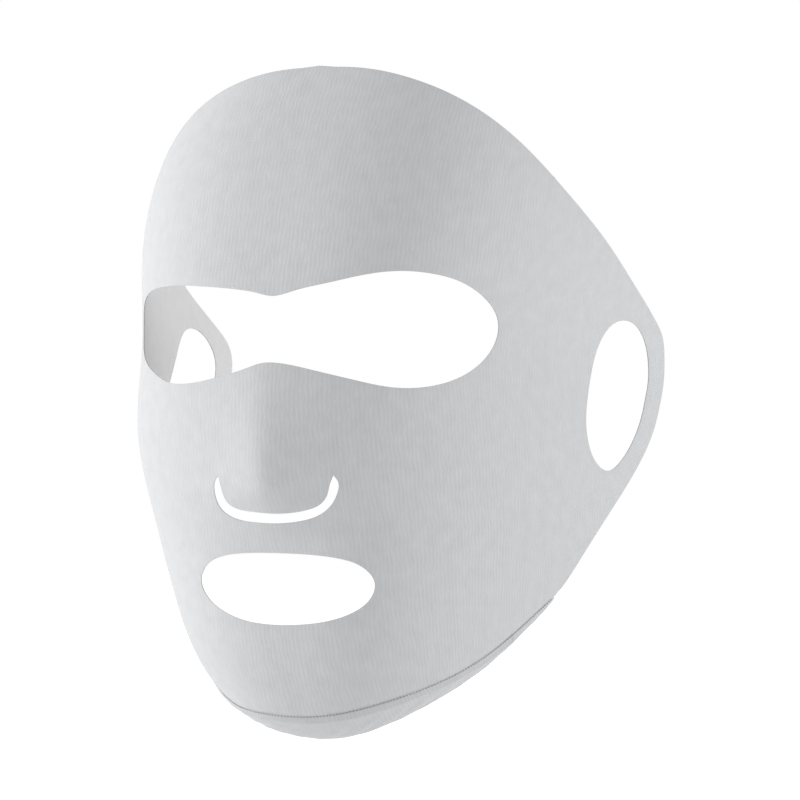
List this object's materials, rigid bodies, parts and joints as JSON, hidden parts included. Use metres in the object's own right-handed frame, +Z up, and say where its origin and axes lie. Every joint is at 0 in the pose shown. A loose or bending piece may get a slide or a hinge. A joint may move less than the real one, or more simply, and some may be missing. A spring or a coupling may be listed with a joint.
{
  "type": "stretch knit full-face mask",
  "caption": "Sewn stretch-knit full-face mask, moulded to a face, with joined eye opening, nose slit, mouth opening, under-chin panel and ear loops cut in its sides.",
  "frame": {"origin": "midway between the centres of the two ear openings, where the wearer's head sits", "axes": "+Z up, the face looks towards -Y, +X is the wearer's left"},
  "size_m": [0.1528, 0.1523, 0.2035],
  "materials": {
    "knit_outer": "matt fine-gauge stretch knit",
    "knit_lining": "matt brushed knit",
    "seam_thread": "matt spun polyester thread"
  },
  "bodies": {
    "face": {"face_panel": "knit_outer", "face_panel_lining": "knit_lining", "chin_panel": "knit_outer", "chin_panel_lining": "knit_lining", "chin_seam_thread": "seam_thread"},
    "nose_flap": {"nose_flap": "knit_outer", "nose_flap_lining": "knit_lining"},
    "ear_loop_left": {"ear_loop_left": "knit_outer", "ear_loop_left_lining": "knit_lining"},
    "ear_loop_right": {"ear_loop_right": "knit_outer", "ear_loop_right_lining": "knit_lining"}
  },
  "joints": [
    {"name": "ear_fold_left", "type": "hinge", "parent": "face", "child": "ear_loop_left", "pos_m": [0.0709, -0.0295, 0.05], "axis": [0.0974, 0, 0.9952], "range_deg": [-25, 60], "stiffness_Nm_per_rad": 0.004},
    {"name": "ear_fold_right", "type": "hinge", "parent": "face", "child": "ear_loop_right", "pos_m": [-0.0709, -0.0295, 0.05], "axis": [0.0974, 0, -0.9952], "range_deg": [-25, 60], "stiffness_Nm_per_rad": 0.004},
    {"name": "nose_fold", "type": "hinge", "parent": "face", "child": "nose_flap", "pos_m": [0, -0.1108, -0.0276], "axis": [-1, 0, 0], "range_deg": [-3, 15], "stiffness_Nm_per_rad": 0.001}
  ]
}
